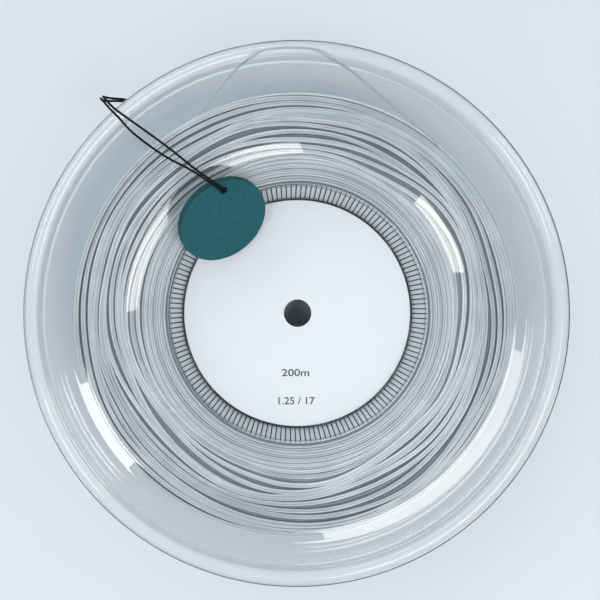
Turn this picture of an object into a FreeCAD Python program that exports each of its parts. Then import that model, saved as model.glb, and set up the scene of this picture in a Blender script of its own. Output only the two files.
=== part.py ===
# Tennis string reel, lying on its back: a clear two-piece spool wound with string, a paper label
# in its front cup, and a round tag leaning in the cup on a cord that goes over the rim.
# The frame: millimetres, origin on the spool's axis in the plane that it lies on, +Z up the axis,
# +X to the reel's right and +Y to its top as it is read from the front.
import FreeCAD, Part
import math
import os
import Sketcher

doc = FreeCAD.newDocument("StringReel")
Vector = FreeCAD.Vector
UP = Vector(0, 0, 1)

# Driving dimensions: lengths in millimetres, angles in degrees.
SIZES = {
    # Spool, both halves
    "overall_thickness": 40.0,
    "rim_radius": 135.0,
    "lip_width": 2.4,
    "lip_slope": 0.5,
    "lip_rise": 2.1,
    "lip_fillet": 0.6,
    "plate": 1.8,
    # The flange is crowned: from a level ring round the cup it climbs, runs level and drops
    # again to the flat beside the rim
    "hub_ring_width": 15.9,
    "crown_slope_width": 6.5,
    "outer_flat_width": 22.5,
    "crown_rise": 2.6,
    "crown_drop": 1.3,
    "crown_inner_fillet": 14.0,
    "crown_outer_fillet": 26.0,
    # Hub cup of each half, with flutes along its sloping wall
    "cup_mouth_radius": 64.1,
    "cup_floor_radius": 58.6,
    "cup_wall": 1.8,
    "web": 1.5,
    "flute_count": 158.0,
    "flute_width": 1.3,
    "flute_depth": 0.6,
    "flute_margin": 0.7,
    # The webs of the two halves meet, with a ring on one in a groove of the other
    "bore_radius": 6.5,
    "spigot_radius": 30.0,
    "spigot_width": 2.0,
    "spigot_rise": 0.6,
    "spigot_gap": 0.1,
    # Two slots near the rim of the front flange hold the string's free end
    "slot_place_radius": 128.9,
    "slot_middle_angle": 92.4,
    "slot_spread_angle": 8.35,
    "slot_slant_angle": 24.0,
    "slot_length": 11.0,
    "slot_width": 2.4,
    # Label, this much smaller than the cup's floor and larger than the bore
    "label_margin": 1.3,
    "label_hole_margin": 0.5,
    "label_thickness": 0.25,
    # String
    "string_diameter": 1.25,
    "winding_radius": 109.6,
    "winding_gap": 0.3,
    "outer_turn_count": 16.0,
    "string_leaves_angle": 49.4,
    "string_starts_angle": 229.4,
    "turn_edge_gap": 0.5,
    "turn_seat_gap": 0.02,
    # Tag
    "tag_radius": 23.0,
    "tag_thickness": 4.4,
    "tag_edge": 0.5,
    "tag_hole_radius": 1.9,
    "tag_hole_rise": 15.6,
    "tag_hole_side": 9.0,
    "tag_direction_angle": 129.0,
    "tag_foot_radius": 45.6,
    "tag_gap": 0.3,
    "cord_diameter": 1.2,
    "knot_radius": 2.5,
    "knot_gap": 0.05,
    "neck_gap": 0.8,
}

sheet = doc.addObject("Spreadsheet::Sheet", "Sizes")
for row, (alias, value) in enumerate(SIZES.items(), start=1):
    sheet.set("A%d" % row, alias)
    sheet.set("B%d" % row, str(value))
    sheet.setAlias("B%d" % row, alias)
doc.recompute()


def size(expression):
    """The value of an expression on the sheet's cells, as a plain number."""
    return float(sheet.evalExpression(expression))


# Heights and radii that several pieces share, written on the sheet's cells.
# Those of the spool are heights on the front half, the rear half is the same turned over.
TOP = "Sizes.overall_thickness"
MIDDLE = "Sizes.overall_thickness / 2"
OUTER_FACE = "Sizes.overall_thickness - Sizes.lip_rise"
CROWN_FACE = OUTER_FACE + " + Sizes.crown_drop"
HUB_FACE = CROWN_FACE + " - Sizes.crown_rise"
WEB_FACE = MIDDLE + " + Sizes.web"
INSIDE = " - Sizes.plate"
CLEAR = " - Sizes.plate - Sizes.winding_gap"
CROWN_START = "Sizes.cup_mouth_radius + Sizes.hub_ring_width"
CROWN_FULL = CROWN_START + " + Sizes.crown_slope_width"
CROWN_END = "Sizes.rim_radius - Sizes.outer_flat_width"
CROWN_LEVEL_END = CROWN_END + " - Sizes.crown_slope_width"
DRUM_MOUTH = "Sizes.cup_mouth_radius + Sizes.cup_wall"
DRUM_WAIST = "Sizes.cup_floor_radius + Sizes.cup_wall"
PACK_RADIUS = "Sizes.winding_radius - Sizes.string_diameter"


# Helpers for bodies and sketches

def new_body(label):
    """An empty body, which is one piece of the reel."""
    return doc.addObject("PartDesign::Body", label)


def origin_feature(body, role):
    """One of a body's own origin planes or axes."""
    return next(feature for feature in body.Origin.OriginFeatures if feature.Role == role)


def new_sketch(body, name, role):
    """A sketch on one of its body's origin planes."""
    sketch = body.newObject("Sketcher::SketchObject", name)
    sketch.AttachmentSupport = (origin_feature(body, role), [""])
    sketch.MapMode = "FlatFace"
    return sketch


def drive(sketch, constraint, expression):
    """Add a dimension and tie it to the sheet."""
    number = sketch.addConstraint(constraint)
    sketch.setExpression("Constraints[%d]" % number, expression)


def outline(sketch, corners):
    """A closed outline of straight edges, each corner an x and a y expression."""
    places = [Vector(size(x), size(y), 0) for x, y in corners]
    for number, place in enumerate(places):
        sketch.addGeometry(Part.LineSegment(place, places[(number + 1) % len(places)]), False)
    for number in range(len(places)):
        following = (number + 1) % len(places)
        sketch.addConstraint(Sketcher.Constraint("Coincident", number, 2, following, 1))
    for number, (x, y) in enumerate(corners):
        drive(sketch, Sketcher.Constraint("DistanceX", -1, 1, number, 1, places[number].x), x)
        drive(sketch, Sketcher.Constraint("DistanceY", -1, 1, number, 1, places[number].y), y)


def circle(sketch, radius):
    """A circle about the sketch's origin."""
    ring = sketch.addGeometry(Part.Circle(Vector(0, 0, 0), UP, size(radius)), False)
    sketch.addConstraint(Sketcher.Constraint("Coincident", ring, 3, -1, 1))
    drive(sketch, Sketcher.Constraint("Radius", ring, size(radius)), radius)


def revolve(body, name, corners):
    """Turn an outline of radii and heights about the body's Z axis."""
    sketch = new_sketch(body, name + "_outline", "XZ_Plane")
    outline(sketch, corners)
    turned = body.newObject("PartDesign::Revolution", name)
    turned.Profile = sketch
    turned.ReferenceAxis = (sketch, ["V_Axis"])
    turned.Angle = 360
    doc.recompute()
    return turned


def cut_ring(body, name, inner, outer, low, high):
    """Cut away a ring of square section about the body's Z axis."""
    sketch = new_sketch(body, name + "_outline", "XZ_Plane")
    outline(sketch, [(inner, low), (outer, low), (outer, high), (inner, high)])
    groove = body.newObject("PartDesign::Groove", name)
    groove.Profile = sketch
    groove.ReferenceAxis = (sketch, ["V_Axis"])
    groove.Angle = 360
    doc.recompute()


def round_rings(body, name, base, radius, *rings):
    """Fillet the circular edges at the given radii and heights."""
    wanted = [(size(ring), size(height)) for ring, height in rings]
    names = []
    for number, edge in enumerate(base.Shape.Edges, start=1):
        if isinstance(edge.Curve, Part.Circle):
            place = (edge.Curve.Radius, edge.Curve.Center.z)
            if any(math.dist(place, ring) < 1e-4 for ring in wanted):
                names.append("Edge%d" % number)
    fillet = body.newObject("PartDesign::Fillet", name)
    fillet.Base = (base, names)
    fillet.Radius = size(radius)
    fillet.setExpression("Radius", radius)
    doc.recompute()
    return fillet


# Spool halves

def spool_half(label):
    """Flange, lip, fluted cup and web of one half, open side up."""
    body = new_body(label)
    lip_foot = "Sizes.rim_radius - Sizes.lip_width"
    faces = [
        ("Sizes.bore_radius", WEB_FACE),
        ("Sizes.cup_floor_radius", WEB_FACE),
        ("Sizes.cup_mouth_radius", HUB_FACE),
        (CROWN_START, HUB_FACE),
        (CROWN_FULL, CROWN_FACE),
        (CROWN_LEVEL_END, CROWN_FACE),
        (CROWN_END, OUTER_FACE),
        (lip_foot, OUTER_FACE),
        (lip_foot + " + Sizes.lip_slope", TOP),
        ("Sizes.rim_radius", TOP),
        ("Sizes.rim_radius", OUTER_FACE + INSIDE),
        (CROWN_END, OUTER_FACE + INSIDE),
        (CROWN_LEVEL_END, CROWN_FACE + INSIDE),
        (CROWN_FULL, CROWN_FACE + INSIDE),
        (CROWN_START, HUB_FACE + INSIDE),
        (DRUM_MOUTH, HUB_FACE + INSIDE),
        (DRUM_WAIST, MIDDLE),
        ("Sizes.bore_radius", MIDDLE),
    ]
    half = revolve(body, label + "_turned", faces)
    half = round_rings(
        body, label + "_crown_inner", half, "Sizes.crown_inner_fillet",
        (CROWN_START, HUB_FACE), (CROWN_FULL, CROWN_FACE),
        (CROWN_START, HUB_FACE + INSIDE), (CROWN_FULL, CROWN_FACE + INSIDE))
    half = round_rings(
        body, label + "_crown_outer", half, "Sizes.crown_outer_fillet",
        (CROWN_LEVEL_END, CROWN_FACE), (CROWN_END, OUTER_FACE),
        (CROWN_LEVEL_END, CROWN_FACE + INSIDE), (CROWN_END, OUTER_FACE + INSIDE))
    round_rings(
        body, label + "_lip", half, "Sizes.lip_fillet",
        (lip_foot, OUTER_FACE), (lip_foot + " + Sizes.lip_slope", TOP), ("Sizes.rim_radius", TOP),
        ("Sizes.rim_radius", OUTER_FACE + INSIDE))
    cut_flutes(body, label)
    return body


def cut_flutes(body, label):
    """Narrow grooves down the cup's wall, all the way round."""
    slope = "(Sizes.cup_mouth_radius - Sizes.cup_floor_radius) / (%s - (%s))" % (HUB_FACE, WEB_FACE)
    low = WEB_FACE + " + Sizes.flute_margin"
    high = HUB_FACE + " - Sizes.flute_margin"
    low_radius = "Sizes.cup_floor_radius + Sizes.flute_margin * " + slope
    high_radius = "Sizes.cup_mouth_radius - Sizes.flute_margin * " + slope
    strip = new_sketch(body, label + "_flute_outline", "XZ_Plane")
    outline(strip, [
        (low_radius + " - Sizes.flute_depth", low),
        (low_radius + " + Sizes.flute_depth", low),
        (high_radius + " + Sizes.flute_depth", high),
        (high_radius + " - Sizes.flute_depth", high),
    ])
    flute = body.newObject("PartDesign::Pocket", label + "_flute")
    flute.Profile = strip
    flute.SideType = "Symmetric"
    flute.setExpression("Length", "Sizes.flute_width")
    doc.recompute()
    ring = body.newObject("PartDesign::PolarPattern", label + "_flutes")
    ring.Originals = [flute]
    ring.Axis = (origin_feature(body, "Z_Axis"), [""])
    ring.Angle = 360
    ring.setExpression("Occurrences", "Sizes.flute_count")
    body.Tip = ring
    doc.recompute()


def cut_web_groove(body, label):
    """The groove in the web's back that takes the other half's ring."""
    inner = "Sizes.spigot_radius - Sizes.spigot_width / 2 - Sizes.spigot_gap"
    outer = "Sizes.spigot_radius + Sizes.spigot_width / 2 + Sizes.spigot_gap"
    top = MIDDLE + " + Sizes.spigot_rise + Sizes.spigot_gap"
    cut_ring(body, label + "_groove", inner, outer, MIDDLE, top)


def add_web_ring(body, label):
    """The ring on the web's back that centres the two halves."""
    inner = "Sizes.spigot_radius - Sizes.spigot_width / 2"
    outer = "Sizes.spigot_radius + Sizes.spigot_width / 2"
    low = MIDDLE + " - Sizes.spigot_rise"
    revolve(body, label + "_ring", [(inner, low), (outer, low), (outer, MIDDLE), (inner, MIDDLE)])


def cut_string_slots(body, label):
    """Two slanted slots near the rim, mirrored about the radius midway between them."""
    straight = "Sizes.slot_length / 2 - Sizes.slot_width / 2"
    half_straight = size(straight)
    half_width = size("Sizes.slot_width / 2")
    for side, name in ((-1, "right"), (1, "left")):
        sketch = new_sketch(body, "%s_%s_slot_outline" % (label, name), "XY_Plane")
        ends = [Vector(-half_straight, 0, 0), Vector(half_straight, 0, 0)]
        low = Part.LineSegment(ends[0] - Vector(0, half_width, 0), ends[1] - Vector(0, half_width, 0))
        high = Part.LineSegment(ends[1] + Vector(0, half_width, 0), ends[0] + Vector(0, half_width, 0))
        far = Part.ArcOfCircle(Part.Circle(ends[1], UP, half_width), -math.pi / 2, math.pi / 2)
        near = Part.ArcOfCircle(Part.Circle(ends[0], UP, half_width), math.pi / 2, 3 * math.pi / 2)
        for edge in (low, far, high, near):
            sketch.addGeometry(edge, False)
        for first, second in ((0, 1), (1, 2), (2, 3), (3, 0)):
            sketch.addConstraint(Sketcher.Constraint("Tangent", first, 2, second, 1))
        sketch.addConstraint(Sketcher.Constraint("Horizontal", 0))
        sketch.addConstraint(Sketcher.Constraint("Symmetric", 1, 3, 3, 3, -1, 1))
        drive(sketch, Sketcher.Constraint("Radius", 1, half_width), "Sizes.slot_width / 2")
        drive(sketch, Sketcher.Constraint("DistanceX", -1, 1, 1, 3, half_straight), straight)
        place_angle = "Sizes.slot_middle_angle + %d * Sizes.slot_spread_angle" % side
        turn = "%s + 90 + %d * Sizes.slot_slant_angle" % (place_angle, side)
        sketch.setExpression(
            "AttachmentOffset.Base.x", "Sizes.slot_place_radius * cos(%s)" % place_angle)
        sketch.setExpression(
            "AttachmentOffset.Base.y", "Sizes.slot_place_radius * sin(%s)" % place_angle)
        sketch.setExpression("AttachmentOffset.Base.z", MIDDLE)
        sketch.AttachmentOffset = FreeCAD.Placement(Vector(0, 0, 0), FreeCAD.Rotation(UP, 1))
        sketch.setExpression("AttachmentOffset.Rotation.Angle", turn)
        doc.recompute()
        slot = body.newObject("PartDesign::Pocket", "%s_%s_slot" % (label, name))
        slot.Profile = sketch
        slot.Reversed = True
        slot.setExpression("Length", "Sizes.overall_thickness")
        doc.recompute()
        body.Tip = slot


def front_half():
    """The half that carries the label, with the groove and the two string slots."""
    body = spool_half("front_half")
    cut_web_groove(body, "front_half")
    cut_string_slots(body, "front_half")
    return body


def rear_half():
    """The half that the reel lies on: the same moulding with the ring, turned over."""
    body = spool_half("rear_half")
    add_web_ring(body, "rear_half")
    body.Placement = FreeCAD.Placement(Vector(0, 0, 0), FreeCAD.Rotation(Vector(1, 0, 0), 180))
    body.setExpression("Placement.Base.z", TOP)
    doc.recompute()
    return body


# Label

def front_label():
    """A paper disc on the front web, with the bore's hole in it."""
    body = new_body("front_label")
    sketch = new_sketch(body, "front_label_outline", "XY_Plane")
    circle(sketch, "Sizes.cup_floor_radius - Sizes.label_margin")
    circle(sketch, "Sizes.bore_radius + Sizes.label_hole_margin")
    sketch.setExpression("AttachmentOffset.Base.z", WEB_FACE)
    doc.recompute()
    sheet_of_paper = body.newObject("PartDesign::Pad", "front_label_paper")
    sheet_of_paper.Profile = sketch
    sheet_of_paper.setExpression("Length", "Sizes.label_thickness")
    doc.recompute()
    return body


# String

def string_pack():
    """The wound string below its last layer: the space between flanges and drum, trimmed to
    the wound radius."""
    body = new_body("string_pack")
    front = [
        (DRUM_WAIST + " + Sizes.winding_gap", MIDDLE),
        (DRUM_MOUTH + " + Sizes.winding_gap", HUB_FACE + CLEAR),
        (CROWN_START, HUB_FACE + CLEAR),
        (CROWN_FULL + " + 3 * Sizes.winding_gap", CROWN_FACE + CLEAR),
        (CROWN_LEVEL_END + " - Sizes.winding_gap", CROWN_FACE + CLEAR),
        (CROWN_END, OUTER_FACE + CLEAR),
        ("Sizes.rim_radius", OUTER_FACE + CLEAR),
    ]
    rear = [(radius, "%s - (%s)" % (TOP, height)) for radius, height in reversed(front[1:])]
    revolve(body, "string_pack_space", front + rear)
    cut_ring(body, "string_pack_trim", PACK_RADIUS, "Sizes.rim_radius * 2", "-Sizes.plate", TOP)
    return body


def tube(label, path, diameter):
    """A round tube along a wire, as a piece of its own."""
    start = path.Edges[0]
    heading = start.tangentAt(start.FirstParameter)
    ring = Part.Wire([Part.makeCircle(diameter / 2, start.Vertexes[0].Point, heading)])
    piece = doc.addObject("Part::Feature", label)
    piece.Shape = path.makePipeShell([ring], True, False, 0)
    piece.Placement = FreeCAD.Placement()
    length = sum(edge.Length for edge in path.Edges)
    section = math.pi * diameter ** 2 / 4
    print("%s: length %.1f, volume over section times length %.4f"
          % (label, length, piece.Shape.Volume / (section * length)))
    return piece


def biarc(start, start_heading, end, end_heading):
    """Two arcs that join two points with the given headings."""
    chord = end - start
    both = start_heading + end_heading
    a = 2 * (1 - start_heading.dot(end_heading))
    b = 2 * chord.dot(both)
    reach = (-b + math.sqrt(b * b + 4 * a * chord.dot(chord))) / (2 * a)
    first_knee = start + start_heading * reach
    second_knee = end - end_heading * reach
    middle = (first_knee + second_knee) * 0.5
    return [arc_from(start, first_knee, middle), arc_from(middle, second_knee, end)]


def arc_from(start, knee, end):
    """The arc that leaves a point towards a knee and comes in to its end from the knee."""
    middle = (start + end) * 0.5
    inward = middle - knee
    half_chord = (end - start).Length / 2
    half_turn = math.atan2(half_chord, inward.Length)
    radius = half_chord / math.cos(half_turn)
    centre = knee + inward.normalize() * (radius / math.sin(half_turn))
    through = centre + (knee - centre).normalize() * radius
    return Part.Arc(start, through, end).toShape()


def outer_turns():
    """The last layer of string: an open helix over the pack, one unbroken tube."""
    diameter = size("Sizes.string_diameter")
    radius = size("Sizes.winding_radius - Sizes.string_diameter / 2 + Sizes.turn_seat_gap")
    top = size(OUTER_FACE + CLEAR + " - Sizes.turn_edge_gap - Sizes.string_diameter / 2")
    bottom = size(TOP) - top
    start_angle = size("Sizes.string_starts_angle")
    leave_angle = size("Sizes.string_leaves_angle")
    turns = size("Sizes.outer_turn_count") + (leave_angle - start_angle) / 360
    half_turns = round(2 * turns)
    rise = (top - bottom) / half_turns

    def place(number):
        angle = math.radians(start_angle + 180 * number)
        return Vector(radius * math.cos(angle), radius * math.sin(angle), bottom + rise * number)

    def heading(number):
        angle = math.radians(start_angle + 180 * number)
        return Vector(-math.sin(angle), math.cos(angle), rise / (math.pi * radius)).normalize()

    arcs = []
    for number in range(half_turns):
        arcs += biarc(place(number), heading(number), place(number + 1), heading(number + 1))
    first = place(0) - heading(0) * diameter
    last = place(half_turns) + heading(half_turns) * diameter
    edges = [Part.LineSegment(first, place(0)).toShape()]
    edges += arcs
    edges += [Part.LineSegment(place(half_turns), last).toShape()]
    path = Part.Wire(edges)
    print("string_outer_turns: least gap to itself %.2f" % least_gap(path, radius, diameter))
    return tube("string_outer_turns", path, diameter), last, heading(half_turns)


def least_gap(path, radius, diameter):
    """Least gap between a wound tube and its own next turn, on points along its path."""
    spacing = 0.5
    compared_every = 20.0
    points = path.discretize(Distance=spacing)
    half_turn = int(math.pi * radius / spacing)
    nearest = radius
    for number in range(0, len(points) - half_turn, int(compared_every / spacing)):
        next_turn = points[number + half_turn:number + 3 * half_turn]
        nearest = min([nearest] + [points[number].distanceToPoint(other) for other in next_turn])
    return nearest - diameter


def route_path(label, route):
    """Straight runs between the route's points, joined by arcs as large as the runs allow."""
    share = 0.45
    edges = []
    radii = []
    reached = route[0]
    for before, corner, after in zip(route, route[1:], route[2:]):
        into = (corner - before).normalize()
        out = (after - corner).normalize()
        half_turn = into.getAngle(out) / 2
        setback = share * min((corner - before).Length, (after - corner).Length)
        radii.append(setback / math.tan(half_turn))
        start = corner - into * setback
        end = corner + out * setback
        edges.append(Part.LineSegment(reached, start).toShape())
        edges.append(arc_from(start, corner, end))
        reached = end
    edges.append(Part.LineSegment(reached, route[-1]).toShape())
    print("%s: arc radii %s" % (label, " ".join("%.1f" % radius for radius in radii)))
    return Part.Wire(edges)


def string_free_end(start, heading):
    """The end of the string: straight off the last turn, up through one slot, along the
    flange's face, down through the other slot and back to the winding."""
    straight_stretch = 50.0
    route = [start, start + heading * straight_stretch]
    route += [Vector(*place) for place in FREE_END_PLACES]
    return tube("string_free_end", route_path("string_free_end", route), size("Sizes.string_diameter"))


# Places that the string's end passes, from its straight stretch to its tip
FREE_END_PLACES = [
    (25.4, 121.3, 34.9),
    (18.6, 125.3, 34.9),
    (13.4, 128.2, 37.0),
    (9.3, 130.4, 38.9),
    (2.9, 131.2, 38.9),
    (-5.2, 131.4, 38.9),
    (-13.2, 130.7, 38.9),
    (-19.5, 129.2, 38.9),
    (-24.0, 126.6, 37.0),
    (-28.9, 123.2, 34.9),
    (-34.6, 117.2, 34.7),
    (-42.0, 108.3, 34.5),
    (-49.3, 99.3, 34.5),
]


# Tag, leaning in the cup

def tag_axes(tilt):
    """Up-slope, sideways and face-normal directions of the tag at a tilt in radians."""
    facing = math.radians(size("Sizes.tag_direction_angle"))
    outward = Vector(math.cos(facing), math.sin(facing), 0)
    side = Vector(-math.sin(facing), math.cos(facing), 0)
    up_slope = outward * math.cos(tilt) + UP * math.sin(tilt)
    normal = UP * math.cos(tilt) - outward * math.sin(tilt)
    return up_slope, side, normal


def tag_foot():
    """The lowest point of the tag's back, just over the label."""
    facing = math.radians(size("Sizes.tag_direction_angle"))
    reach = size("Sizes.tag_foot_radius")
    height = size(WEB_FACE + " + Sizes.label_thickness + Sizes.tag_gap")
    return Vector(reach * math.cos(facing), reach * math.sin(facing), height)


def tag_clears_cup(tilt):
    """Whether the tag's side and its knot stay inside the cup's wall, with their gap."""
    up_slope, side, normal = tag_axes(tilt)
    radius = size("Sizes.tag_radius")
    thickness = size("Sizes.tag_thickness")
    gap = size("Sizes.tag_gap")
    floor_height = size(WEB_FACE)
    depth = size(HUB_FACE) - floor_height
    floor_radius = size("Sizes.cup_floor_radius")
    widening = (size("Sizes.cup_mouth_radius") - floor_radius) / depth

    def is_clear(point, reach):
        above_floor = point.z - floor_height
        limit = floor_radius + widening * above_floor - gap - reach
        return above_floor - reach >= depth + gap or math.hypot(point.x, point.y) <= limit

    knot = tag_placement(tilt).multVec(Vector(0, 0, size(KNOT_HEIGHT)))
    if not is_clear(knot, size("Sizes.knot_radius")):
        return False
    centre = tag_foot() + up_slope * radius
    steps = 180
    levels = 12
    for step in range(steps):
        angle = math.radians(360 / steps * step)
        edge = centre + up_slope * (radius * math.cos(angle)) + side * (radius * math.sin(angle))
        for level in range(levels + 1):
            if not is_clear(edge + normal * (thickness * level / levels), 0):
                return False
    return True


def tag_lean():
    """The least tilt at which the tag leans on the cup's mouth, found by halving."""
    low = math.radians(5)
    high = math.radians(85)
    for _ in range(30):
        middle = (low + high) / 2
        if tag_clears_cup(middle):
            high = middle
        else:
            low = middle
    return high


def tag_placement(tilt):
    """Where the tag's own frame lies: hole in the face at its origin, face up, centre at -X."""
    up_slope, side, normal = tag_axes(tilt)
    radius = size("Sizes.tag_radius")
    hole = tag_foot() + up_slope * (radius + size("Sizes.tag_hole_rise"))
    hole += side * -size("Sizes.tag_hole_side") + normal * size("Sizes.tag_thickness")
    turned = FreeCAD.Rotation(up_slope, side, normal, "ZXY")
    return FreeCAD.Placement(hole, turned)


def hang_tag(tilt):
    """A thick round disc with one hole near its edge."""
    body = new_body("hang_tag")
    disc = new_sketch(body, "hang_tag_outline", "XY_Plane")
    middle = Vector(-size("Sizes.tag_hole_rise"), size("Sizes.tag_hole_side"), 0)
    ring = disc.addGeometry(Part.Circle(middle, UP, size("Sizes.tag_radius")), False)
    drive(disc, Sketcher.Constraint("DistanceX", -1, 1, ring, 3, middle.x), "-Sizes.tag_hole_rise")
    drive(disc, Sketcher.Constraint("DistanceY", -1, 1, ring, 3, middle.y), "Sizes.tag_hole_side")
    drive(disc, Sketcher.Constraint("Radius", ring, size("Sizes.tag_radius")), "Sizes.tag_radius")
    circle(disc, "Sizes.tag_hole_radius")
    doc.recompute()
    plate = body.newObject("PartDesign::Pad", "hang_tag_plate")
    plate.Profile = disc
    plate.Reversed = True
    plate.setExpression("Length", "Sizes.tag_thickness")
    doc.recompute()
    edges = [number for number, edge in enumerate(plate.Shape.Edges, start=1)
             if isinstance(edge.Curve, Part.Circle)
             and abs(edge.Curve.Radius - size("Sizes.tag_radius")) < 1e-6]
    rounded = body.newObject("PartDesign::Fillet", "hang_tag_rounded")
    rounded.Base = (plate, ["Edge%d" % number for number in edges])
    rounded.Radius = size("Sizes.tag_edge")
    rounded.setExpression("Radius", "Sizes.tag_edge")
    doc.recompute()
    body.Placement = tag_placement(tilt)
    return body


def tag_knot(tilt):
    """The knot that rests in the hole's back edge, with the cord's two ends as its neck."""
    ball = doc.addObject("Part::Sphere", "knot_ball")
    ball.setExpression("Radius", "Sizes.knot_radius")
    ball.setExpression("Placement.Base.z", KNOT_HEIGHT)
    neck = doc.addObject("Part::Cylinder", "knot_neck")
    neck.setExpression("Radius", "Sizes.cord_diameter")
    neck.setExpression("Height", "-Sizes.neck_gap - (%s)" % KNOT_HEIGHT)
    neck.setExpression("Placement.Base.z", KNOT_HEIGHT)
    knot = doc.addObject("Part::Fuse", "tag_knot")
    knot.Base = ball
    knot.Tool = neck
    doc.recompute()
    knot.Placement = tag_placement(tilt)
    return knot


# The ball of the knot sits in the edge of the hole, this far below the tag's face
KNOT_HEIGHT = ("-Sizes.tag_thickness - Sizes.knot_gap"
               " - sqrt(Sizes.knot_radius ^ 2 - Sizes.tag_hole_radius ^ 2)")


def tag_cord():
    """The cord: out of the tag, over the rim, back under the flange in a bight, and home."""
    route = [Vector(*place) for place in CORD_PLACES]
    return tube("tag_cord", route_path("tag_cord", route), size("Sizes.cord_diameter"))


# Places that the cord passes, from the tag's hole to the bight and back to the hole
CORD_PLACES = [
    # Out of the hole and over the tag's upper edge
    (-36.0, 59.8, 52.9),
    (-35.3, 58.9, 54.1),
    (-35.5, 59.2, 56.0),
    (-37.1, 60.3, 57.9),
    (-39.7, 62.0, 59.3),
    (-43.9, 64.8, 59.6),
    # Over the flange
    (-49.2, 68.4, 58.8),
    (-57.9, 75.6, 55.9),
    (-63.0, 79.8, 53.6),
    (-72.2, 86.8, 49.9),
    (-81.4, 93.6, 46.6),
    # Over the rim and under it
    (-90.1, 99.8, 44.6),
    (-93.2, 103.2, 44.8),
    (-95.4, 105.6, 42.6),
    (-96.2, 106.7, 38.8),
    (-94.8, 106.6, 34.9),
    (-91.0, 106.6, 32.3),
    (-86.5, 106.1, 31.4),
    # The bight, just inside the rim
    (-83.3, 104.6, 31.2),
    (-82.9, 102.2, 31.1),
    (-84.7, 100.5, 31.1),
    (-87.1, 101.1, 31.2),
    # Out again and back over the rim
    (-90.3, 102.9, 31.5),
    (-94.5, 104.2, 32.4),
    (-96.9, 105.2, 35.2),
    (-97.4, 105.7, 39.2),
    (-96.4, 104.7, 42.9),
    (-94.3, 102.3, 44.9),
    (-91.6, 99.1, 44.8),
    # Back over the flange
    (-87.5, 95.2, 45.4),
    (-82.7, 89.4, 46.9),
    (-75.7, 83.5, 49.2),
    (-68.7, 78.4, 51.9),
    (-62.4, 74.2, 54.4),
    (-54.3, 70.0, 57.4),
    (-49.6, 67.2, 58.9),
    # Over the tag's edge and into the hole
    (-44.9, 64.0, 59.6),
    (-40.7, 61.2, 59.3),
    (-38.2, 59.4, 57.9),
    (-36.5, 58.3, 56.0),
    (-36.3, 58.1, 54.1),
    (-37.0, 59.0, 52.9),
]


# The whole reel

def check(pieces):
    """Stop if any object failed or any piece has no sound solid."""
    for item in doc.Objects:
        if "Invalid" in item.State or "Error" in item.State:
            raise RuntimeError("%s failed" % item.Label)
    for piece in pieces:
        if piece.Shape.isNull() or not piece.Shape.isValid() or not piece.Shape.Solids:
            raise RuntimeError("%s has no sound solid" % piece.Label)


pieces = [front_half(), rear_half(), front_label(), string_pack()]
turns, turns_end, end_heading = outer_turns()
pieces += [turns, string_free_end(turns_end, end_heading)]
lean = tag_lean()
pieces += [hang_tag(lean), tag_knot(lean), tag_cord()]
doc.recompute()
check(pieces)

hinge = tag_placement(lean)
print("tag leans at %.2f degrees, hinge at" % math.degrees(lean), hinge.Base,
      "about", hinge.Rotation.multVec(Vector(0, 1, 0)))
os.makedirs("parts", exist_ok=True)
for piece in pieces:
    print("%s: %.2f cubic centimetres" % (piece.Label, piece.Shape.Volume / 1000))
    piece.Shape.exportStep("parts/%s.step" % piece.Label)
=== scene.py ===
import math

import bmesh
import bpy
import numpy as np
from mathutils import Matrix, Vector


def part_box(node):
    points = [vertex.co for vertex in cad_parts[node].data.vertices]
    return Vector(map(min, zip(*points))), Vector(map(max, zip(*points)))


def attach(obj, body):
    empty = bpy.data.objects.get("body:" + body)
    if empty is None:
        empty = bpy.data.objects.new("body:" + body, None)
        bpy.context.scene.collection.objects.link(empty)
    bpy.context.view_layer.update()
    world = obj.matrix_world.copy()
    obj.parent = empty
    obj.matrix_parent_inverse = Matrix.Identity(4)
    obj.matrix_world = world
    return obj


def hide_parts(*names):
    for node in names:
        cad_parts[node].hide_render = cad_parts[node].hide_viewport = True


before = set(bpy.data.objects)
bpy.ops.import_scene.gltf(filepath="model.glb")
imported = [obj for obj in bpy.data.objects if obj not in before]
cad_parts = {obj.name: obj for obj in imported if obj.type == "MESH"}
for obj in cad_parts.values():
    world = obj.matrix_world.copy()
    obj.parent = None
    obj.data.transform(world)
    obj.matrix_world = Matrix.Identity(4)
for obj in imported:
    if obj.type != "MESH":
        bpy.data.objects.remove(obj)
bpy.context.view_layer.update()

scene = bpy.context.scene
scene.view_settings.view_transform = "Standard"


# Camera
# It hangs over the reel, a little to the left of the spool's axis, and looks almost straight
# down, so that the cup, the tag and the rear rim shift against each other as they really do.
camera = bpy.data.objects.new("camera", bpy.data.cameras.new("camera"))
camera.data.sensor_width = 36
camera.data.lens = 73.91
scene.collection.objects.link(camera)
camera_place = Vector((-0.0209, 0.0079, 0.6468))
seen_middle = Vector((0.0006, 0.0067, 0.0400))
backward = (camera_place - seen_middle).normalized()
rightward = Vector((0, 1, 0)).cross(backward).normalized()
turned = Matrix((rightward, backward.cross(rightward), backward)).transposed().to_4x4()
camera.matrix_world = Matrix.Translation(camera_place) @ turned
scene.camera = camera


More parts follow.
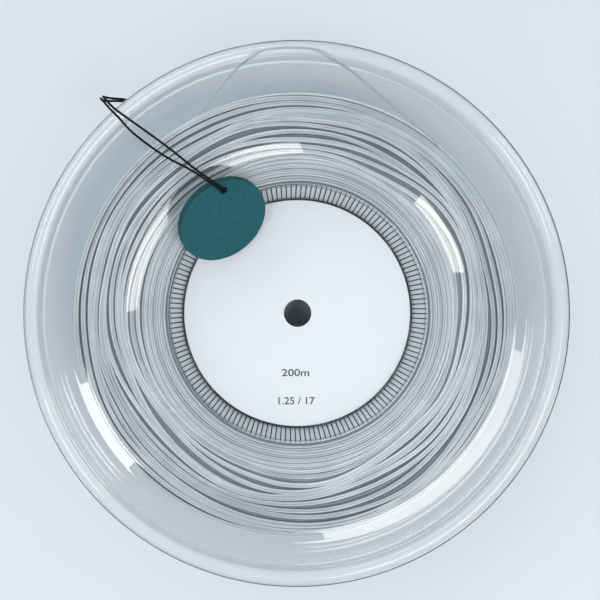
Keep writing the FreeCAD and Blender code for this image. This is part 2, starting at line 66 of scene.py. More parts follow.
# Tag cord
# Thin black waxed cord of three plies, one length doubled into a loop: out of the tag's hole,
# over the rim, a small bight just under it, and back over the rim into the same hole.
cord_diameter = 0.0012
cord_places = [
    # Out of the hole and over the tag's upper edge
    (-0.0360, 0.0598, 0.0529), (-0.0353, 0.0589, 0.0541), (-0.0355, 0.0592, 0.0560),
    (-0.0371, 0.0603, 0.0579), (-0.0397, 0.0620, 0.0593), (-0.0439, 0.0648, 0.0596),
    # Over the flange
    (-0.0492, 0.0684, 0.0588), (-0.0579, 0.0756, 0.0559), (-0.0630, 0.0798, 0.0536),
    (-0.0722, 0.0868, 0.0499), (-0.0814, 0.0936, 0.0466),
    # Over the rim and under it
    (-0.0901, 0.0998, 0.0446), (-0.0932, 0.1032, 0.0448), (-0.0954, 0.1056, 0.0426),
    (-0.0962, 0.1067, 0.0388), (-0.0950, 0.1068, 0.0346), (-0.0927, 0.1068, 0.0321),
    (-0.0899, 0.1068, 0.0310), (-0.0873, 0.1067, 0.0306),
    # The bight, tucked just under the rim's edge
    (-0.0855, 0.1062, 0.0313), (-0.0850, 0.1056, 0.0330), (-0.0862, 0.1050, 0.0345),
    # Out again and back over the rim
    (-0.0886, 0.1050, 0.0349), (-0.0914, 0.1052, 0.0342), (-0.0943, 0.1052, 0.0337),
    (-0.0969, 0.1052, 0.0352),
    (-0.0974, 0.1057, 0.0392), (-0.0964, 0.1047, 0.0429), (-0.0943, 0.1023, 0.0449),
    (-0.0916, 0.0991, 0.0448),
    # Back over the flange
    (-0.0875, 0.0952, 0.0454), (-0.0827, 0.0894, 0.0469), (-0.0757, 0.0835, 0.0492),
    (-0.0687, 0.0784, 0.0519), (-0.0624, 0.0742, 0.0544), (-0.0543, 0.0700, 0.0574),
    (-0.0496, 0.0672, 0.0589),
    # Over the tag's edge and into the hole
    (-0.0449, 0.0640, 0.0596), (-0.0407, 0.0612, 0.0593), (-0.0382, 0.0594, 0.0579),
    (-0.0365, 0.0583, 0.0560), (-0.0363, 0.0581, 0.0541), (-0.0370, 0.0590, 0.0529),
]


def new_object(name, data):
    """An object of its own in the scene."""
    made = bpy.data.objects.new(name, data)
    scene.collection.objects.link(made)
    return made


def smooth_line(name, places):
    """A curve object without thickness, its places the control points of one smooth line."""
    line = bpy.data.curves.new(name, "CURVE")
    line.dimensions = "3D"
    line.resolution_u = 12
    spline = line.splines.new("NURBS")
    spline.points.add(len(places) - 1)
    for point, place in zip(spline.points, places):
        point.co = (*place, 1)
    spline.order_u = 3
    spline.use_endpoint_u = True
    return new_object(name, line)


def plain_mesh(piece, name):
    """What a piece's modifiers make of it, as a plain mesh object in its place."""
    graph = bpy.context.evaluated_depsgraph_get()
    mesh = bpy.data.meshes.new_from_object(piece.evaluated_get(graph), depsgraph=graph)
    bpy.data.objects.remove(piece)
    mesh.name = name
    return new_object(name, mesh)


def tree_of_geometry(name, inputs):
    """An empty geometry tree with named inputs: its tree, its input node and its output node."""
    tree = bpy.data.node_groups.new(name, "GeometryNodeTree")
    tree.interface.new_socket("Geometry", in_out="INPUT", socket_type="NodeSocketGeometry")
    tree.interface.new_socket("Geometry", in_out="OUTPUT", socket_type="NodeSocketGeometry")
    for label, kind in inputs.items():
        tree.interface.new_socket(label, in_out="INPUT", socket_type="NodeSocket" + kind)
    return tree, tree.nodes.new("NodeGroupInput"), tree.nodes.new("NodeGroupOutput")


def put(tree, kind, sockets=None, **settings):
    """A node with its settings, each named socket linked to another node's or given a value."""
    made = tree.nodes.new(kind)
    for label, setting in settings.items():
        setattr(made, label, setting)
    for label, value in (sockets or {}).items():
        socket = made.inputs[label]
        if isinstance(value, bpy.types.NodeSocket):
            tree.links.new(value, socket)
        else:
            socket.default_value = value
    return made


def reckon(tree, operation, *values):
    """The result of a Math node."""
    return put(tree, "ShaderNodeMath", dict(enumerate(values)), operation=operation).outputs[0]


def reckon_vector(tree, operation, *vectors):
    """The result of a Vector Math node."""
    return put(tree, "ShaderNodeVectorMath", dict(enumerate(vectors)),
               operation=operation).outputs[0]


def scaled(tree, vector, factor):
    """A vector times a number."""
    return put(tree, "ShaderNodeVectorMath", {
        0: vector, "Scale": factor}, operation="SCALE").outputs[0]


def mapped(tree, value, before, after=(0.0, 1.0), **settings):
    """A value carried from one range to another and held at its ends."""
    return put(tree, "ShaderNodeMapRange", {
        "Value": value, "From Min": before[0], "From Max": before[1],
        "To Min": after[0], "To Max": after[1]}, **settings).outputs["Result"]


def blended(tree, factor, first, second):
    """The colour that lies between two colours by a factor."""
    return put(tree, "ShaderNodeMix", {
        "Factor": factor, "A": (*first, 1), "B": (*second, 1)}, data_type="RGBA").outputs["Result"]


def add_relief(tree, shader, height, distance, strength):
    """Give a material's surface a fine relief."""
    bump = put(tree, "ShaderNodeBump", {
        "Height": height, "Distance": distance, "Strength": strength})
    tree.links.new(bump.outputs[0], shader.inputs["Normal"])


def grow(piece, tree, values):
    """Put a geometry tree on a piece with its inputs' values, by the sockets' identifiers."""
    modifier = piece.modifiers.new(tree.name, "NODES")
    modifier.node_group = tree
    for item in tree.interface.items_tree:
        if item.item_type == "SOCKET" and item.in_out == "INPUT" and item.name in values:
            modifier[item.identifier] = values[item.name]
    return piece


def twisted_cord_tree():
    """Plies twisted round a line: a tube whose wall dips in a helix between each two plies."""
    tree, given, result = tree_of_geometry("twisted_cord", {
        "Diameter": "Float", "Plies": "Float", "Lay Length": "Float", "Dip": "Float",
        "Spacing": "Float", "Material": "Material"})
    line = put(tree, "GeometryNodeResampleCurve", {
        "Curve": given.outputs["Geometry"], "Length": given.outputs["Spacing"]}, mode="LENGTH")
    along = put(tree, "GeometryNodeCaptureAttribute", {"Geometry": line.outputs[0]})
    along.capture_items.new("FLOAT", "Along")
    tree.links.new(tree.nodes.new("GeometryNodeSplineParameter").outputs["Length"], along.inputs[1])
    ring = put(tree, "GeometryNodeCurvePrimitiveCircle", {
        "Resolution": 15, "Radius": reckon(tree, "DIVIDE", given.outputs["Diameter"], 2.0)})
    around = put(tree, "GeometryNodeCaptureAttribute", {"Geometry": ring.outputs[0]})
    around.capture_items.new("FLOAT", "Around")
    tree.links.new(tree.nodes.new("GeometryNodeSplineParameter").outputs["Factor"], around.inputs[1])
    tube = put(tree, "GeometryNodeCurveToMesh", {
        "Curve": along.outputs[0], "Profile Curve": around.outputs[0], "Fill Caps": True})
    turns = reckon(tree, "ADD", around.outputs[1],
                   reckon(tree, "DIVIDE", along.outputs[1], given.outputs["Lay Length"]))
    wave = reckon(tree, "ABSOLUTE", reckon(tree, "COSINE", reckon(
        tree, "MULTIPLY", turns, reckon(tree, "MULTIPLY", given.outputs["Plies"], math.pi))))
    dip = reckon(tree, "MULTIPLY", reckon(tree, "SUBTRACT", wave, 1.0), given.outputs["Dip"])
    inward = scaled(tree, tree.nodes.new("GeometryNodeInputNormal").outputs[0], dip)
    dipped = put(tree, "GeometryNodeSetPosition", {"Geometry": tube.outputs[0], "Offset": inward})
    # The wave is stored for the cord's material, which paints the grooves between the plies darker as
    # painted shade.
    marked = put(tree, "GeometryNodeStoreNamedAttribute", {
        "Geometry": dipped.outputs[0], "Name": "ply", "Value": wave},
        data_type="FLOAT", domain="POINT")
    smooth = put(tree, "GeometryNodeSetShadeSmooth", {"Geometry": marked.outputs[0]})
    whole = put(tree, "GeometryNodeRealizeInstances", {"Geometry": smooth.outputs[0]})
    finished = put(tree, "GeometryNodeSetMaterial", {
        "Geometry": whole.outputs[0], "Material": given.outputs["Material"]})
    tree.links.new(finished.outputs[0], result.inputs[0])
    return tree


def new_material(name):
    """A material with its node tree and its Principled shader, which its output shows."""
    material = bpy.data.materials.new(name)
    material.use_nodes = True
    return material, material.node_tree, material.node_tree.nodes["Principled BSDF"]


def soft_variation_group():
    """Uneven grey over a surface, between two values, from the object's own coordinates."""
    group = bpy.data.node_groups.new("soft_variation", "ShaderNodeTree")
    for label, value in (("Size", 200.0), ("Detail", 3.0), ("Low", 0.0), ("High", 1.0)):
        socket = group.interface.new_socket(label, in_out="INPUT", socket_type="NodeSocketFloat")
        socket.default_value = value
    group.interface.new_socket("Value", in_out="OUTPUT", socket_type="NodeSocketFloat")
    given = group.nodes.new("NodeGroupInput")
    result = group.nodes.new("NodeGroupOutput")
    place = group.nodes.new("ShaderNodeTexCoord").outputs["Object"]
    noise = put(group, "ShaderNodeTexNoise", {
        "Vector": place, "Scale": given.outputs["Size"], "Detail": given.outputs["Detail"]})
    spread = mapped(group, noise.outputs["Fac"], (0.3, 0.7),
                    (given.outputs["Low"], given.outputs["High"]))
    group.links.new(spread, result.inputs["Value"])
    return group


soft_variation = soft_variation_group()


def variation(tree, size, detail, low, high):
    """The shared uneven grey placed in a material with values of its own."""
    placed = tree.nodes.new("ShaderNodeGroup")
    placed.node_tree = soft_variation
    for label, value in (("Size", size), ("Detail", detail), ("Low", low), ("High", high)):
        placed.inputs[label].default_value = value
    return placed.outputs["Value"]


waxed_cord, tree, shader = new_material("waxed_cord")
ply = put(tree, "ShaderNodeAttribute", attribute_name="ply").outputs["Fac"]
# Painted shade: the cord is darker in the grooves between its plies and lighter on their crests.
ply_groove_painted_shade = blended(tree, ply, (0.001, 0.0015, 0.002), (0.009, 0.011, 0.013))
tree.links.new(ply_groove_painted_shade, shader.inputs["Base Color"])
tree.links.new(variation(tree, 2500, 2, 0.5, 0.75), shader.inputs["Roughness"])
shader.inputs["Specular IOR Level"].default_value = 0.12
add_relief(tree, shader, variation(tree, 6000, 2, 0, 1), 0.00004, 0.6)

twisted_cord = twisted_cord_tree()
cord_route = plain_mesh(smooth_line("cord_route", cord_places), "cord_route")
bpy.data.objects.remove(cord_route)
plied_cord = {"Diameter": cord_diameter, "Plies": 3.0, "Lay Length": 0.0075, "Dip": 0.00013,
              "Spacing": 0.0003, "Material": waxed_cord}
cord = grow(smooth_line("tag_cord_line", cord_places), twisted_cord, plied_cord)
cord = plain_mesh(cord, "twisted_tag_cord")
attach(cord, "reel")
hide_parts("tag_cord")


# Free end of the string
# The last stretch of the monofilament: it leaves the winding, comes up through one slot of the
# front flange, runs along its face, goes down through the other and is tucked on the winding.
string_diameter = 0.00125
free_end_places = [
    (0.06998, 0.08357, 0.03468), (0.0320, 0.1161, 0.0348), (0.0254, 0.1213, 0.0349),
    (0.0186, 0.1253, 0.0349), (0.0134, 0.1282, 0.0370), (0.0093, 0.1304, 0.0389),
    (0.0029, 0.1312, 0.0389), (-0.0052, 0.1314, 0.0389), (-0.0132, 0.1307, 0.0389),
    (-0.0195, 0.1292, 0.0389), (-0.0240, 0.1266, 0.0370), (-0.0289, 0.1232, 0.0349),
    (-0.0346, 0.1172, 0.0347), (-0.0420, 0.1083, 0.0345), (-0.0493, 0.0993, 0.0345),
]


def string_material(name, light, dark):
    """Glossy drawn monofilament, silver-grey, each turn a little lighter or darker."""
    material, tree, shader = new_material(name)
    tone = put(tree, "ShaderNodeAttribute", attribute_name="tone").outputs["Fac"]
    streak = variation(tree, 60, 2, -0.2, 0.2)
    shade = put(tree, "ShaderNodeMath", {0: tone, 1: streak}, operation="ADD", use_clamp=True)
    colour = blended(tree, shade.outputs[0], dark, light)
    tree.links.new(colour, shader.inputs["Base Color"])
    tree.links.new(variation(tree, 900, 2, 0.15, 0.27), shader.inputs["Roughness"])
    shader.inputs["Metallic"].default_value = 0.1
    shader.inputs["IOR"].default_value = 1.6
    return material


monofilament = string_material("silver_monofilament", (0.78, 0.81, 0.855), (0.50, 0.545, 0.585))
# A darker copy of the same string for the deeper turns: painted shade from the turns above them.
deep_string_painted_shade = string_material("deep_string_painted_shade", (0.32, 0.36, 0.39), (0.18, 0.215, 0.24))
# A darker copy of the same string for the free end: painted shade, so that it shows as a dim line
# over the flange.
free_end_painted_shade = string_material("free_end_painted_shade", (0.50, 0.54, 0.57), (0.42, 0.46, 0.49))
# A darker copy of the same string for the neat turns beside the cup: painted shade from the hub.
inner_string_painted_shade = string_material("inner_string_painted_shade", (0.66, 0.70, 0.74), (0.48, 0.52, 0.56))
free_end = smooth_line("string_end", free_end_places)
free_end.data.bevel_depth = string_diameter / 2
free_end.data.bevel_resolution = 4
free_end.data.use_fill_caps = True
free_end.data.materials.append(free_end_painted_shade)
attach(free_end, "reel")
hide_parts("string_free_end")


# Table and light
# A pale blue-grey table top, a wide soft lamp to the lower right, a narrower one to the lower
# left, a thin one to the upper left, and soft light from all round, stronger from low down and
# from the upper left, where a window would be.
table_colour, tree, shader = new_material("pale_table")
shader.inputs["Base Color"].default_value = (0.765, 0.787, 0.848, 1)
shader.inputs["Roughness"].default_value = 0.65
bpy.ops.mesh.primitive_plane_add(size=8, location=(0, 0, -0.0001))
table = bpy.context.object
table.name = "table_top"
table.data.materials.append(table_colour)

world = bpy.data.worlds.new("even_light")
scene.world = world
world.use_nodes = True
sky = world.node_tree
background = sky.nodes["Background"]
background.inputs["Color"].default_value = (0.84, 0.95, 1.0, 1)
direction = put(sky, "ShaderNodeSeparateXYZ", {
    0: sky.nodes.new("ShaderNodeTexCoord").outputs["Generated"]})
from_zenith = mapped(sky, direction.outputs["Z"], (0.15, 0.75), (1.04, 0.40))
towards_window = reckon(sky, "SUBTRACT", direction.outputs["Y"], direction.outputs["X"])
from_window = mapped(sky, towards_window, (0.4, 1.1), (1.0, 2.0))
brightness = reckon(sky, "MULTIPLY", from_zenith, from_window)
sky.links.new(brightness, background.inputs["Strength"])
lamp_distance = 2.2


def softbox(name, turn, lean, width, depth, power):
    """A rectangular lamp aimed at the reel, turned from +X and leaned from +Z, in degrees."""
    lamp = new_object(name, bpy.data.lights.new(name, "AREA"))
    lamp.data.shape = "RECTANGLE"
    lamp.data.size = width
    lamp.data.size_y = depth
    lamp.data.energy = power
    lamp.data.color = (1.0, 0.965, 0.93)
    turn = math.radians(turn)
    lean = math.radians(lean)
    outward = Vector((math.cos(turn), math.sin(turn), 0))
    backward = outward * math.sin(lean) + Vector((0, 0, math.cos(lean)))
    sideways = Vector((-math.sin(turn), math.cos(turn), 0))
    axes = Matrix((sideways, backward.cross(sideways), backward)).transposed().to_4x4()
    lamp.matrix_world = Matrix.Translation(backward * lamp_distance) @ axes


softbox("wide_softbox", turn=-45, lean=31, width=1.5, depth=0.80, power=17.8)
softbox("narrow_softbox", turn=-147, lean=29, width=0.50, depth=0.55, power=5.6)
softbox("window_light", turn=135, lean=56, width=2.0, depth=0.12, power=3.2)


# Spool halves
# Two clear polystyrene mouldings, web to web: a web with a bore, a fluted cup, a crowned flange
# and a raised lip. The rear one is the same turned over, with a ring in the front one's groove.
bore_radius = 0.0065
cup_floor_radius = 0.0580
cup_mouth_radius = 0.0641
rim_radius = 0.135
overall_thickness = 0.040
middle_height = 0.020
web_height = 0.0215
hub_height = 0.0366
flute_count = 158
flute_columns = (0.05, 0.30, 0.56, 0.81, 0.93)
groove_start = 0.87
groove_depth = 0.00037
contact_gap = 0.00003
fillet_step = 17
long_stretch = 0.003
flat_margin = 0.0003
wall_reach = 0.0642
wall_slope = 0.37
wall_margin = 0.0005
slot_half_width = 0.0012
slot_half_straight = 0.0043
slot_radius = 0.1289
slot_low = 0.034
slot_high = 0.042


def rounded(corners):
    """The corners of an outline, each (radius, height, fillet), with the fillets as short runs.

    A long straight stretch gets a point beside each of its ends, so that it is shaded flat.
    """
    line = []
    for number, (radius, height, fillet) in enumerate(corners):
        here = Vector((radius, height))
        if not fillet:
            line.append(here)
            continue
        before = (Vector(corners[number - 1][:2]) - here).normalized()
        after = (Vector(corners[(number + 1) % len(corners)][:2]) - here).normalized()
        half = before.angle(after) / 2
        centre = here + (before + after).normalized() * (fillet / math.sin(half))
        start = here + before * (fillet / math.tan(half)) - centre
        end = here + after * (fillet / math.tan(half)) - centre
        turn = start.angle_signed(end)
        steps = max(2, round(abs(math.degrees(turn)) / fillet_step))
        for step in range(steps + 1):
            angle = -turn * step / steps
            cosine, sine = math.cos(angle), math.sin(angle)
            line.append(centre + Vector((start.x * cosine - start.y * sine,
                                         start.x * sine + start.y * cosine)))
    held = []
    for number, here in enumerate(line):
        held.append(here)
        stretch = line[(number + 1) % len(line)] - here
        if stretch.length > long_stretch:
            held += [here + stretch.normalized() * flat_margin,
                     here + stretch - stretch.normalized() * flat_margin]
    return held


def face_outward(mesh):
    """Turn all the faces of a closed mesh outward."""
    shape = bmesh.new()
    shape.from_mesh(mesh)
    bmesh.ops.recalc_face_normals(shape, faces=shape.faces)
    shape.to_mesh(mesh)
    shape.free()


def turned_mesh(name, line, angles):
    """A closed outline of radii and heights turned about the Z axis, with a copy at each angle."""
    mesh = bpy.data.meshes.new(name)
    corners = [(point.x * math.cos(angle), point.x * math.sin(angle), point.y)
               for angle in angles for point in line]
    rows = len(line)
    faces = []
    for column in range(len(angles)):
        here = column * rows
        following = (column + 1) % len(angles) * rows
        for row in range(rows):
            next_row = (row + 1) % rows
            faces.append((here + row, following + row, following + next_row, here + next_row))
    mesh.from_pydata(corners, [], faces)
    face_outward(mesh)
    return new_object(name, mesh)


def flutes_tree():
    """Narrow grooves down a wall: in marked rows one column of points a flute goes outward."""
    tree, given, result = tree_of_geometry("cup_flutes", {"Flutes": "Float", "Depth": "Float"})
    place = tree.nodes.new("GeometryNodeInputPosition").outputs[0]
    parts = put(tree, "ShaderNodeSeparateXYZ", {0: place})
    angle = reckon(tree, "ARCTAN2", parts.outputs["Y"], parts.outputs["X"])
    flutes_a_radian = reckon(tree, "DIVIDE", given.outputs["Flutes"], math.tau)
    turns = reckon(tree, "MULTIPLY", angle, flutes_a_radian)
    grooved = reckon(tree, "GREATER_THAN", reckon(tree, "FRACT", turns), groove_start)
    row = put(tree, "GeometryNodeInputNamedAttribute", {"Name": "fluted_row"}, data_type="FLOAT")
    push = reckon(tree, "MULTIPLY", given.outputs["Depth"],
                  reckon(tree, "MULTIPLY", grooved, row.outputs["Attribute"]))
    level = reckon_vector(tree, "MULTIPLY", place, (1, 1, 0))
    outward = reckon_vector(tree, "NORMALIZE", level)
    moved = put(tree, "GeometryNodeSetPosition", {
        "Geometry": given.outputs["Geometry"], "Offset": scaled(tree, outward, push)})
    tree.links.new(moved.outputs[0], result.inputs[0])
    return tree


def clear_moulding():
    """Clear polystyrene, faintly wavy; lamps' rays go straight through it, fewer at upright edges."""
    material, tree, shader = new_material("clear_polystyrene")
    shader.inputs["Base Color"].default_value = (0.955, 0.966, 0.970, 1)
    shader.inputs["Transmission Weight"].default_value = 1.0
    shader.inputs["IOR"].default_value = 1.5
    tree.links.new(variation(tree, 1400, 4, 0.0, 0.035), shader.inputs["Roughness"])
    add_relief(tree, shader, variation(tree, 28, 1, 0, 1), 0.0002, 0.08)
    path = tree.nodes.new("ShaderNodeLightPath")
    straight = reckon(tree, "MAXIMUM", path.outputs["Is Shadow Ray"], path.outputs["Is Diffuse Ray"])
    upright = put(tree, "ShaderNodeSeparateXYZ", {
        0: tree.nodes.new("ShaderNodeTexCoord").outputs["Normal"]}).outputs["Z"]
    level = mapped(tree, reckon(tree, "ABSOLUTE", upright), (0.05, 0.30))
    passed = blended(tree, level, (0.52, 0.55, 0.57), (0.945, 0.947, 0.945))
    through = put(tree, "ShaderNodeBsdfTransparent", {"Color": passed})
    both = put(tree, "ShaderNodeMixShader", {
        0: straight, 1: shader.outputs[0], 2: through.outputs[0]})
    tree.links.new(both.outputs[0], tree.nodes["Material Output"].inputs["Surface"])
    return material


def spool_outline(with_ring):
    """A half's outline, open side up, and the heights between which its wall is fluted."""
    web_back = middle_height + contact_gap
    low, high = web_height + 0.0009, hub_height - 0.0012
    slope = (cup_mouth_radius - cup_floor_radius) / (hub_height - web_height)
    wall = [(cup_floor_radius + slope * (height - web_height), height, 0) for height in (
        low, low + 0.00015, *np.linspace(low + 0.0012, high - 0.0012, 5), high - 0.00015, high)]
    corners = [(bore_radius, web_height - contact_gap, 0.0003),
               (cup_floor_radius, web_height - contact_gap, 0.0008)]
    corners += wall
    corners += [
        (cup_mouth_radius, hub_height, 0.0015),
        (0.0782, 0.0366, 0.008), (0.0862, 0.0392, 0.008),
        (0.1074, 0.0392, 0.012), (0.1140, 0.0380, 0.012),
        (0.1299, 0.0380, 0.0032), (0.1322, 0.0396, 0.0025), (0.1340, 0.0401, 0.0018),
        (rim_radius, 0.0396, 0.0004), (rim_radius, 0.0361, 0.0012), (0.1325, 0.03577, 0.006),
        (0.1295, 0.0362, 0.010), (0.1140, 0.0362, 0.012), (0.1074, 0.0374, 0.012),
        (0.0862, 0.0374, 0.008), (0.0782, 0.0348, 0.008),
        (0.0649, 0.0348, 0.0005), (0.0588, web_back, 0.0004),
    ]
    outer, inner, end = (0.0310, 0.0290, 0.0194) if with_ring else (0.0311, 0.0289, 0.0207)
    corners += [(outer, web_back, 0), (outer, end, 0), (inner, end, 0), (inner, web_back, 0),
                (bore_radius, web_back, 0)]
    return rounded(corners), (low + 0.0001, high - 0.0001)


def spool_half(name, with_ring):
    """One fluted half, open side up."""
    line, (low, high) = spool_outline(with_ring)
    half = turned_mesh(name, line, [(flute + share) * math.tau / flute_count
                                    for flute in range(flute_count) for share in flute_columns])
    marks = half.data.attributes.new("fluted_row", "FLOAT", "POINT")
    inner_wall = []
    for point in line:
        outermost = cup_floor_radius + (point.y - web_height) * wall_slope + wall_margin
        inner_wall.append(float(low < point.y < high and point.x < outermost
                                and cup_floor_radius < point.x < wall_reach))
    marks.data.foreach_set("value", inner_wall * (flute_count * len(flute_columns)))
    half = grow(half, cup_flutes, {"Flutes": float(flute_count), "Depth": groove_depth})
    return plain_mesh(half, name)


def slot_cutter(place_angle, turn):
    """A round-ended bar through the flange, 11 mm long and 2.4 mm wide."""
    outline = []
    for end, first in ((slot_half_straight, -90), (-slot_half_straight, 90)):
        for step in range(13):
            angle = math.radians(first + 15 * step)
            outline.append((end + slot_half_width * math.cos(angle),
                            slot_half_width * math.sin(angle)))
    shape = bmesh.new()
    low = [shape.verts.new((x, y, slot_low)) for x, y in outline]
    high = [shape.verts.new((x, y, slot_high)) for x, y in outline]
    shape.faces.new(low[::-1])
    shape.faces.new(high)
    for number in range(len(outline)):
        following = (number + 1) % len(outline)
        shape.faces.new((low[number], low[following], high[following], high[number]))
    place = (Matrix.Rotation(math.radians(place_angle), 4, "Z")
             @ Matrix.Translation((slot_radius, 0, 0)))
    turn_about = Matrix.Rotation(math.radians(turn - place_angle), 4, "Z")
    bmesh.ops.transform(shape, matrix=place @ turn_about, verts=shape.verts)
    mesh = bpy.data.meshes.new("slot_cutter")
    shape.to_mesh(mesh)
    shape.free()
    return new_object("slot_cutter", mesh)


def finish_edges(piece, angle):
    """Smooth shading, with the edges that bend by more than an angle kept crisp."""
    piece.data.shade_smooth()
    piece.data.set_sharp_from_angle(angle=math.radians(angle))


cup_flutes = flutes_tree()
polystyrene = clear_moulding()
front = spool_half("clear_front_half", False)
cutters = [slot_cutter(place_angle=84.05, turn=150.05),
           slot_cutter(place_angle=100.75, turn=214.75)]
for cutter in cutters:
    cut = front.modifiers.new("slot", "BOOLEAN")
    cut.operation = "DIFFERENCE"
    cut.solver = "EXACT"
    cut.object = cutter
front = plain_mesh(front, "clear_front_half")
for cutter in cutters:
    bpy.data.objects.remove(cutter)
rear = spool_half("clear_rear_half", True)
rear.data.transform(Matrix.Translation((0, 0, overall_thickness))
                    @ Matrix.Rotation(math.pi, 4, "X"))
for half, node in ((front, "front_half"), (rear, "rear_half")):
    half.data.materials.clear()
    half.data.materials.append(polystyrene)
    finish_edges(half, angle=32)
    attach(half, "reel")
    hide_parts(node)


# Label
# A disc of coated white paper stuck on the front web, with the bore's hole punched in it. The
# two lines of print are plain figures: the string's length, and its thickness and gauge.
coated_paper, tree, shader = new_material("coated_paper")
paper_shade = blended(tree, variation(tree, 60, 3, 0, 1),
                      (0.85, 0.865, 0.925), (0.865, 0.88, 0.94))
tree.links.new(paper_shade, shader.inputs["Base Color"])
tree.links.new(variation(tree, 700, 2, 0.42, 0.55), shader.inputs["Roughness"])
add_relief(tree, shader, variation(tree, 3000, 3, 0, 1), 0.00001, 0.4)
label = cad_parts["front_label"]
label.material_slots[0].material = coated_paper

printed_ink, tree, shader = new_material("slate_ink")
ink_shade = blended(tree, variation(tree, 1500, 2, 0, 1),
                    (0.045, 0.068, 0.090), (0.065, 0.092, 0.118))
tree.links.new(ink_shade, shader.inputs["Base Color"])
shader.inputs["Roughness"].default_value = 0.45
ink_thickness = 0.00002
letter_swell = 0.012


def printed_line(name, words, height, width, middle):
    """A line of print as a thin skin on the paper."""
    text = bpy.data.curves.new(name, "FONT")
    text.body = words
    text.align_x = "CENTER"
    text.align_y = "CENTER"
    text.extrude = 0.5
    text.offset = letter_swell
    text.materials.append(printed_ink)
    piece = plain_mesh(new_object(name, text), name)
    across = [vertex.co.x for vertex in piece.data.vertices]
    upward = [vertex.co.y for vertex in piece.data.vertices]
    centre = Vector(((max(across) + min(across)) / 2, (max(upward) + min(upward)) / 2, 0))
    scale = Matrix.Diagonal((width / (max(across) - min(across)),
                             height / (max(upward) - min(upward)), ink_thickness, 1))
    paper_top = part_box("front_label")[1].z
    piece.data.transform(Matrix.Translation((*middle, paper_top + ink_thickness / 2)) @ scale
                         @ Matrix.Translation(-centre))
    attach(piece, "reel")


printed_line("print_length", "200m", height=0.0037, width=0.0139, middle=(-0.0010, -0.0302))
printed_line("print_gauge", "1.25 / 17", height=0.0038, width=0.0184, middle=(-0.0005, -0.0445))


